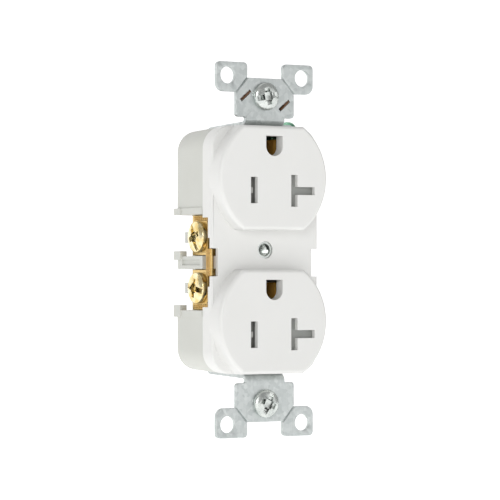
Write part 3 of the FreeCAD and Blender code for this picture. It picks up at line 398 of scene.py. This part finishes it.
def fibre_board():
    material, tree, shader, mm = new_finish("vulcanised_fibre")
    strands = add_node(tree, "Mapping", [("Vector", mm), ("Scale", (0.6, 2.0, 4.0))])
    pulp = add_node(tree, "TexNoise", [
        ("Vector", strands.outputs["Vector"]), ("Scale", 1.0), ("Detail", 5.0)])
    tone = add_node(tree, "Mix", [("Factor", pulp.outputs["Fac"]), ("A", linear("#B9AE93")),
                                  ("B", linear("#DCD5C2"))], data_type="RGBA")
    bump = add_node(tree, "Bump", [("Height", pulp.outputs["Fac"]), ("Strength", 0.2), ("Distance", 0.00005)])
    tree.links.new(tone.outputs["Result"], shader.inputs["Base Color"])
    tree.links.new(bump.outputs["Normal"], shader.inputs["Normal"])
    shader.inputs["Roughness"].default_value = 0.62
    return material


FINISHES["brass_strip"] = drawn_metal("rolled_brass_strip", "#C79C4F", "#F0DAA0", 0.3, (1.0, 1.0, 0.06), 0.30)
FINISHES["contact_brass"] = drawn_metal("tarnished_brass_strip", "#B5812F", "#DDAF5A", 0.3, (1.0, 1.0, 0.06),
                                        0.42, metallic=0.55)
# The bronze's colours are darkened throughout as painted shade: they stand in for the shade at the ends of
# the clip's tongues, deep in their slots.
FINISHES["bronze_spring"] = drawn_metal("phosphor_bronze_with_painted_shade", "#4A3224", "#86644A", 0.3, (0.06, 1.0, 1.0),
                                        0.26)
FINISHES["spring_steel"] = drawn_metal("drawn_spring_wire", "#8C8D90", "#B9BBBE", 0.2, (0.1, 1.0, 1.0), 0.30)
FINISHES["fibre"] = fibre_board()
print("finishes:", len(FINISHES))

# %% [markdown]
# ## Dressing the CAD parts
#
# Each CAD part's record names the slot of its finish. We put that finish on the part's own mesh,
# which leaves its shape alone.

# %% Give every CAD part its finish
SLOT_OF = {part["node"]: part["material_slot"] for part in frame["record"]["subparts"]}
for name, node in cad.items():
    node.data.materials.clear()
    node.data.materials.append(FINISHES[SLOT_OF[name]])
print("dressed", len(cad), "CAD parts")

# %% [markdown]
# ## Softening the sharp edges of the CAD parts
#
# A CAD solid's edges are perfectly sharp, and no moulded or punched edge is: a tool edge leaves a
# radius of about a tenth of a millimetre, which catches a thin line of light. We could round each
# edge in CAD, but that makes heavy solids. Here we copy the CAD mesh instead, merge its loose
# triangles, pair the flat ones into quads, and let a Bevel modifier round what is left.
# A Weighted Normal modifier then keeps the flat faces flat to the eye. The copy replaces the CAD
# part in the picture only.

# %% A softened copy of a CAD part
NODE_BODY = {node: body for body, nodes in frame["record"]["behaviour"]["bodies"].items() for node in nodes}
MERGE = 0.000002
FLAT_ANGLE = math.radians(0.5)
QUAD_ANGLE = math.radians(60)
EDGE_ANGLE = math.radians(38)


def apply_modifier(piece, kind, **settings):
    """Adds one modifier with its settings and applies it."""
    modifier = piece.modifiers.new(kind.lower(), kind)
    for name, value in settings.items():
        setattr(modifier, name, value)
    bpy.context.view_layer.objects.active = piece
    bpy.ops.object.modifier_apply(modifier=modifier.name)


def wear(piece, slot, body, *nodes):
    """Gives a piece its finish and its body, and hides the CAD parts that it stands for."""
    piece.data.materials.clear()
    piece.data.materials.append(FINISHES[slot])
    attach(piece, body)
    if nodes:
        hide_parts(*nodes)


def softened(node, name, radius):
    """A merged copy of a CAD part with rounded edges."""
    deselect_all()
    piece = bpy.data.objects.new(name, cad[node].data.copy())
    bpy.context.collection.objects.link(piece)
    piece.select_set(True)
    bpy.context.view_layer.objects.active = piece
    bpy.ops.object.mode_set(mode="EDIT")
    bpy.ops.mesh.select_mode(type="VERT")
    bpy.ops.mesh.select_all(action="SELECT")
    bpy.ops.mesh.remove_doubles(threshold=MERGE)
    bpy.ops.mesh.tris_convert_to_quads(face_threshold=FLAT_ANGLE, shape_threshold=QUAD_ANGLE)
    bpy.ops.object.mode_set(mode="OBJECT")
    apply_modifier(piece, "BEVEL", width=radius, segments=2, limit_method="ANGLE", angle_limit=EDGE_ANGLE,
                   use_clamp_overlap=False)
    bpy.ops.object.shade_smooth()
    apply_modifier(piece, "WEIGHTED_NORMAL", keep_sharp=False)
    wear(piece, SLOT_OF[node], NODE_BODY[node], node)
    return piece


SMALL_EDGE = 0.06
SOFT_EDGES = {"front_cover": 0.10, "rear_body": 0.04, "mounting_strap": 0.10, "self_ground_clip": 0.04}
for node in cad:
    if node.endswith(("_bus", "_screw_retainer", "_clamp_plate")):
        SOFT_EDGES[node] = SMALL_EDGE
for node, radius in SOFT_EDGES.items():
    piece = softened(node, node + "_finished", radius * MM)
    print(piece.name, len(piece.data.polygons), "faces")

# %% [markdown]
# ## Turned shapes
#
# Screws, rivets and the hollow post are round, so the natural way to make them is a lathe: draw
# half of the outline and spin it. We start from a tiny circle merged into one point, extrude that
# point along the outline, and spin the line once around Z.

# %% A lathe
def active_mesh(kind, **settings):
    """Adds a primitive with nothing else selected and returns its object."""
    deselect_all()
    getattr(bpy.ops.mesh, "primitive_" + kind + "_add")(**settings)
    return bpy.context.object


def turned(outline, steps=48, closed=False):
    """Spins an outline of (radius, height) points, in millimetres, once around Z."""
    first = Vector((outline[0][0], 0, outline[0][1])) * MM
    shape = active_mesh("circle", vertices=3, radius=0.0001, location=first)
    bpy.ops.object.transform_apply(location=True, rotation=True, scale=True)
    bpy.ops.object.mode_set(mode="EDIT")
    bpy.ops.mesh.select_all(action="SELECT")
    bpy.ops.mesh.merge(type="CENTER")
    points = outline[1:] + (outline[:1] if closed else [])
    before = outline[0]
    for point in points:
        move = ((point[0] - before[0]) * MM, 0, (point[1] - before[1]) * MM)
        bpy.ops.mesh.extrude_region_move(TRANSFORM_OT_translate={"value": move})
        before = point
    bpy.ops.mesh.select_all(action="SELECT")
    bpy.ops.mesh.spin(steps=steps, angle=2 * math.pi, center=(0, 0, 0), axis=(0, 0, 1))
    bpy.ops.mesh.select_all(action="SELECT")
    bpy.ops.mesh.remove_doubles(threshold=MERGE)
    bpy.ops.mesh.normals_make_consistent(inside=False)
    bpy.ops.object.mode_set(mode="OBJECT")
    return shape


def dome(radius, rim, crown, count=8):
    """Outline points of a domed head, from the middle of its top down to its rim."""
    angles = [math.pi / 2 * (1 - i / count) for i in range(count + 1)]
    return [(radius * math.cos(a), rim + (crown - rim) * math.sin(a)) for a in angles]


print("a dome:", [tuple(round(v, 2) for v in point) for point in dome(4.2, 1.3, 2.2, 4)])

# %% [markdown]
# ## Screw threads
#
# A thread is a ridge that climbs around the shank. The Screw modifier makes exactly that from one
# small triangle: it sweeps the triangle around Z and lifts it by one pitch per turn. The two open
# ends are then filled, so the ridge is a closed body whose foot is sunk into the shank.

# %% A thread
THREAD_STEPS = 24
FOOT = 0.12                     # how deep a ridge is sunk into its shank
RIDGE_HALF = 0.46               # half the ridge's foot, as part of the pitch


def thread(root, crest, pitch, low, high):
    """A helical ridge from one height to another; a crest smaller than the root points inwards."""
    outward = 1 if crest > root else -1
    shape = active_mesh("circle", vertices=3, radius=0.0005)
    bpy.ops.object.transform_apply(location=True, rotation=True, scale=True)
    foot = root - outward * FOOT
    corners = ((crest, 0.0), (foot, -pitch * RIDGE_HALF), (foot, pitch * RIDGE_HALF))
    for vertex, (radius, height) in zip(shape.data.vertices, corners):
        vertex.co = (radius * MM, 0, (low + pitch / 2 + height) * MM)
    turns = max(1, int((high - low - pitch) / pitch))
    apply_modifier(shape, "SCREW", axis="Z", angle=2 * math.pi, screw_offset=pitch * MM, iterations=turns,
                   steps=THREAD_STEPS, render_steps=THREAD_STEPS)
    bpy.ops.object.mode_set(mode="EDIT")
    bpy.ops.mesh.select_all(action="SELECT")
    bpy.ops.mesh.fill_holes(sides=3)
    bpy.ops.mesh.select_all(action="SELECT")
    bpy.ops.mesh.normals_make_consistent(inside=False)
    bpy.ops.object.mode_set(mode="OBJECT")
    return shape


def join(shapes):
    """Joins shapes into the first one."""
    deselect_all()
    for shape in shapes:
        shape.select_set(True)
    bpy.context.view_layer.objects.active = shapes[0]
    bpy.ops.object.join()
    return shapes[0]


sample = thread(root=1.42, crest=1.75, pitch=0.79, low=0.0, high=8.0)
print("a thread of", len(sample.data.polygons), "faces")
bpy.data.objects.remove(sample)

# %% [markdown]
# ## Screws with a combination recess
#
# Every screw here takes a flat or a cross-tipped driver, and the slot and the cross share one
# well. The header's punch forms it, so its walls lean out and its edges are rounded. We build the
# punch from a block for the slot, two for the cross and a plug for the middle, all narrower at
# their feet. A Boolean modifier takes each away from the head, and a Bevel modifier rounds the
# edges. Each screw is modelled upright at the origin and then moved to where its CAD part is.

# %% The punch and the screw
PITCH = 25.4 / 32               # 32 threads to the inch
SMOOTH_ANGLE = math.radians(35)


def tapered_block(length, width, low, high, draft):
    """A block whose top is longer and wider than its bottom by the draft on every side."""
    shape = active_mesh("cube", size=MM, location=(0, 0, (low + high) / 2 * MM))
    bpy.ops.transform.resize(value=(length, width, high - low))
    bpy.ops.object.transform_apply(location=True, rotation=True, scale=True)
    for vertex in shape.data.vertices:
        vertex.select = vertex.co.z > (low + high) / 2 * MM
    bpy.ops.object.mode_set(mode="EDIT")
    bpy.ops.transform.resize(value=(1 + 2 * draft / length, 1 + 2 * draft / width, 1))
    bpy.ops.object.mode_set(mode="OBJECT")
    return shape


def cut_away(shape, tool):
    """Takes a tool's shape out of another shape and throws the tool away."""
    apply_modifier(shape, "BOOLEAN", operation="DIFFERENCE", object=tool, solver="EXACT")
    bpy.data.objects.remove(tool)


THREAD_HEIGHT = 0.366           # of a thread, as part of its pitch
RIM_EDGE = 0.12                 # rounding under a head's rim
TIP = 0.8                       # length of the tapered tip
RECESS_DEPTH = 0.85
GROOVE = 0.5                    # width of the slot and of the cross at their floor
PLUG = 1.1                      # the same of the plug in the middle
PUNCH_TOP = 0.4                 # how far the punch stands over the crown


def screw_shape(name, head_radius, rim, crown, shank_radius, length, slot, cross, neck=None):
    """A domed screw along Z: its head's underside is at zero and its shank points down."""
    core = shank_radius - THREAD_HEIGHT * PITCH
    neck_radius, neck_length = neck or (core, 0.4)
    shape = turned(dome(head_radius, rim, crown) + [
        (head_radius, RIM_EDGE), (head_radius - RIM_EDGE, 0.0), (neck_radius, 0.0),
        (neck_radius, -neck_length), (core, -neck_length - 0.15), (core, TIP - length),
        (core * 0.75, -length), (0.0, -length)])
    floor, top = crown - RECESS_DEPTH, crown + PUNCH_TOP
    for tool in (tapered_block(slot, GROOVE, floor + 0.15, top, 0.40),
                 tapered_block(GROOVE, cross, floor, top, 0.45),
                 tapered_block(cross * 0.9, GROOVE, floor, top, 0.45),
                 tapered_block(PLUG, PLUG, floor - 0.1, top, 0.60)):
        cut_away(shape, tool)
    apply_modifier(shape, "BEVEL", width=0.07 * MM, segments=2, limit_method="ANGLE",
                   angle_limit=EDGE_ANGLE, use_clamp_overlap=False)
    shape = join([shape, thread(core, shank_radius, PITCH, 0.5 - length, -neck_length)])
    shape.name = name
    bpy.ops.object.shade_smooth_by_angle(angle=SMOOTH_ANGLE)
    return shape


def place(shape, position, direction, spin):
    """Points a shape's Z axis along a direction, moves it, and puts its place into its mesh."""
    turn = Vector((0, 0, 1)).rotation_difference(Vector(direction)).to_matrix().to_4x4()
    shape.matrix_world = Matrix.Translation(position) @ turn @ Matrix.Rotation(math.radians(spin), 4, "Z")
    deselect_all()
    shape.select_set(True)
    bpy.context.view_layer.objects.active = shape
    bpy.ops.object.transform_apply(location=True, rotation=True, scale=True)


def twin(shape, name):
    """A copy of a shape with its own mesh."""
    copy = bpy.data.objects.new(name, shape.data.copy())
    bpy.context.collection.objects.link(copy)
    return copy


print("a recess", RECESS_DEPTH, "mm deep and a pitch of", round(PITCH, 3), "mm")

# %% [markdown]
# ## The seven screws
#
# The mounting screws are 6-32 and the terminal and ground screws are 8-32. Both have 32 threads
# to the inch, so only the size of the shank differs. One master per kind is modelled, and each
# screw is its copy, set from the box of its CAD part and turned a little, as screws are left by
# a driver.

# %% Make and place the screws
SCREWS = {
    "mounting": {"head_radius": 3.82, "rim": 0.6, "crown": 1.9, "shank_radius": 1.75, "length": 13.3,
                 "slot": 6.2, "cross": 3.6, "neck": (1.45, 3.4)},
    "terminal": {"head_radius": 4.2, "rim": 1.3, "crown": 2.2, "shank_radius": 2.08, "length": 5.2,
                 "slot": 7.0, "cross": 4.2},
    "ground": {"head_radius": 4.7, "rim": 1.1, "crown": 1.8, "shank_radius": 2.08, "length": 5.6,
               "slot": 7.6, "cross": 4.0},
}
MASTERS = {kind: screw_shape(kind + "_master", **sizes) for kind, sizes in SCREWS.items()}


def set_screw(kind, node, direction, spin):
    """A copy of a master screw where a CAD screw is."""
    low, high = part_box(node)
    middle = (Vector(low) + Vector(high)) / 2
    aim = Vector(direction)
    top = Vector([high[i] if aim[i] > 0 else low[i] for i in range(3)])
    crown = SCREWS[kind]["crown"] * MM
    underside = Vector([top[i] - aim[i] * crown if aim[i] else middle[i] for i in range(3)])
    piece = twin(MASTERS[kind], node + "_threaded")
    place(piece, underside, direction, spin)
    wear(piece, SLOT_OF[node], NODE_BODY[node], node)
    print(piece.name, "at", [round(v / MM, 2) for v in underside])


for end, spin in (("upper", 12), ("lower", 66)):
    set_screw("mounting", end + "_mounting_screw", (0, -1, 0), spin)
for end, spin in (("upper", 20), ("lower", 78)):
    set_screw("terminal", end + "_hot_terminal_screw", (-1, 0, 0), spin)
    set_screw("terminal", end + "_neutral_terminal_screw", (1, 0, 0), 90 - spin)
set_screw("ground", "ground_screw", (1, 0, 0), 20)
for master in MASTERS.values():
    bpy.data.objects.remove(master)

# %% [markdown]
# ## The hollow post
#
# The wall plate's screw goes into a tubular rivet in the middle of the outlet. Its bore is tapped,
# and its rear end is rolled over the strap into a flange with a round edge. The tube and flange
# are turned as one closed outline, and the thread is the same ridge as on the screws, turned
# inwards.

# %% Make the post
BORE, TUBE = 1.75, 2.45
THREAD_CREST = 1.42
FLANGE_THICKNESS = 0.8
low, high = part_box("center_post")
length = (high[1] - low[1]) / MM
flange = (high[0] - low[0]) / 2 / MM
tube_outline = [(BORE, 0.0), (BORE + 0.15, 0.0), (TUBE - 0.1, 0.0), (TUBE, -0.1)]
flange_outline = [(TUBE, FLANGE_THICKNESS), (flange - 0.25, FLANGE_THICKNESS), (flange - 0.05, 0.6),
                  (flange, 0.4), (flange - 0.08, 0.16), (flange - 0.35, 0.0), (BORE + 0.75, 0.0),
                  (BORE + 0.25, 0.2), (BORE, 0.7)]
outline = tube_outline + [(radius, height - length) for radius, height in flange_outline]
post = join([turned(outline, 64, closed=True), thread(BORE, THREAD_CREST, PITCH, 0.9 - length, -0.15)])
post.name = "tapped_post"
bpy.ops.object.shade_smooth_by_angle(angle=SMOOTH_ANGLE)
place(post, Vector((0, low[1], 0)), (0, -1, 0), 0)
wear(post, SLOT_OF["center_post"], NODE_BODY["center_post"], "center_post")
print("post of", round(length, 2), "mm with a flange", round(2 * flange, 2), "mm wide")

# %% [markdown]
# ## Ground rivets
#
# Two solid rivets hold the ground contacts to the strap's back. The setting tool leaves a low
# dome behind and a smaller upset end inside. Both are turned from the box of their CAD part.

# %% Make the rivets
HEAD_RADIUS, HEAD_RIM, HEAD_CROWN = 2.2, 0.25, 0.7
RIVET_SHANK = 1.2
UPSET_RADIUS, UPSET_RIM, UPSET_CROWN = 1.76, 0.29, 0.2


def rivet(node):
    """A rivet along Y in place of its CAD part."""
    low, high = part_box(node)
    end = HEAD_CROWN - (high[1] - low[1]) / MM
    upset_start = end + UPSET_CROWN + UPSET_RIM
    outline = dome(HEAD_RADIUS, HEAD_RIM, HEAD_CROWN) + [
        (HEAD_RADIUS, 0.0), (RIVET_SHANK, 0.0), (RIVET_SHANK, upset_start), (UPSET_RADIUS, upset_start)]
    outline += [(radius, end + UPSET_CROWN - height)
                for radius, height in reversed(dome(UPSET_RADIUS, 0.0, UPSET_CROWN))]
    shape = turned(outline)
    shape.name = node + "_domed"
    bpy.ops.object.shade_smooth_by_angle(angle=SMOOTH_ANGLE)
    seat = Vector(((low[0] + high[0]) / 2, high[1] - HEAD_CROWN * MM, (low[2] + high[2]) / 2))
    place(shape, seat, (0, 1, 0), 0)
    wear(shape, SLOT_OF[node], NODE_BODY[node], node)
    return shape


for end in ("upper", "lower"):
    print(rivet(end + "_ground_rivet").name)

# %% [markdown]
# ## Serrations that grip the wire
#
# Where a wire is clamped, the brass strip is knurled: rows of small pyramids bite into the copper.
# They show above and below the clamp plates. A grid is thickened, and each of its top faces is
# poked, which lifts its middle into a pyramid. One pad is made and copied to the four ends.

# %% Knurled pads
PAD_THICKNESS = 0.1
STRIP_FACE = 14.4               # outer face of a brass strip, from the outlet's middle
GRIP_DEPTH = 8.0                # middle of the pads, behind the ears
GRIP_HEIGHTS = {"upper": 8.65, "lower": -15.45}


def knurled_pad(name, length, width, rows, columns, lift):
    """A flat pad whose pyramids point up."""
    shape = active_mesh("grid", x_subdivisions=columns, y_subdivisions=rows, size=MM)
    bpy.ops.transform.resize(value=(length, width, 1))
    bpy.ops.object.transform_apply(location=True, rotation=True, scale=True)
    bpy.ops.object.mode_set(mode="EDIT")
    bpy.ops.mesh.select_all(action="SELECT")
    bpy.ops.mesh.extrude_region_move(TRANSFORM_OT_translate={"value": (0, 0, PAD_THICKNESS * MM)})
    bpy.ops.mesh.select_all(action="SELECT")
    bpy.ops.mesh.normals_make_consistent(inside=False)
    bpy.ops.mesh.select_all(action="DESELECT")
    bpy.ops.object.mode_set(mode="OBJECT")
    for polygon in shape.data.polygons:
        polygon.select = polygon.normal.z > 0.9
    bpy.ops.object.mode_set(mode="EDIT")
    bpy.ops.mesh.select_mode(type="FACE")
    bpy.ops.mesh.poke(offset=lift * MM)
    bpy.ops.object.mode_set(mode="OBJECT")
    shape.name = name
    return shape


pad_master = knurled_pad("pad_master", length=8.4, width=1.5, rows=3, columns=7, lift=0.50)
print("pad of", len(pad_master.data.polygons), "faces")
for side, kind in ((-1, "hot"), (1, "neutral")):
    for end, height in GRIP_HEIGHTS.items():
        pad = twin(pad_master, end + "_" + kind + "_wire_grip")
        place(pad, Vector((side * STRIP_FACE, GRIP_DEPTH, height)) * MM, (side, 0, 0), 90)
        wear(pad, SLOT_OF[kind + "_bus"], NODE_BODY[kind + "_bus"])
bpy.data.objects.remove(pad_master)

# %% [markdown]
# ## Coined lines and guide ribs
#
# The break-off fin is coined with upright lines for the pliers' grip, and each hot shutter has a
# small rib that meets the blade first. Both are thin raised bars: a cube is stretched between two
# corners, and a Bevel modifier rounds its edges.

# %% Bars on the fins and the hot shutters
def bar(name, low, high, edge):
    """A block between two corners in millimetres, with bevelled edges."""
    shape = active_mesh("cube", size=MM, location=[(a + b) / 2 * MM for a, b in zip(low, high)])
    bpy.ops.transform.resize(value=[b - a for a, b in zip(low, high)])
    bpy.ops.object.transform_apply(location=True, rotation=True, scale=True)
    apply_modifier(shape, "BEVEL", width=edge * MM, segments=2, limit_method="NONE")
    shape.name = name
    return shape


LINES, LINE_PITCH, LINE_WIDTH, LINE_PROUD = 5, 0.45, 0.20, 0.25
FIRST_LINE = 0.28               # from the fin's front edge
SUNK = 0.1
FIN_LOW, FIN_HIGH = -6.95, 0.15
RIB_START, RIB_WIDTH, RIB_DEPTH, RIB_HEIGHT = 1.1, 0.85, 0.9, 1.6
fin = Vector(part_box("hot_bus")[0]) / MM
lines = []
for index in range(LINES):
    y = fin.y + FIRST_LINE + LINE_PITCH * index
    lines.append(bar("line", (fin.x - LINE_PROUD, y - LINE_WIDTH / 2, FIN_LOW),
                     (fin.x + SUNK, y + LINE_WIDTH / 2, FIN_HIGH), 0.06))
coined = join(lines)
coined.name = "hot_fin_coined_lines"
wear(coined, SLOT_OF["hot_bus"], NODE_BODY["hot_bus"])
print(coined.name, len(coined.data.polygons), "faces")
for end in ("upper", "lower"):
    shutter = end + "_hot_shutter"
    low, high = [Vector(corner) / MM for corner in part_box(shutter)]
    middle = (low.z + high.z) / 2
    rib = bar(shutter + "_rib", (low.x + RIB_START, low.y, middle - RIB_HEIGHT / 2),
              (low.x + RIB_START + RIB_WIDTH, low.y + RIB_DEPTH, middle + RIB_HEIGHT / 2), 0.08)
    wear(rib, "shutter_base", NODE_BODY[shutter])
    print(rib.name, "rides on", NODE_BODY[shutter])
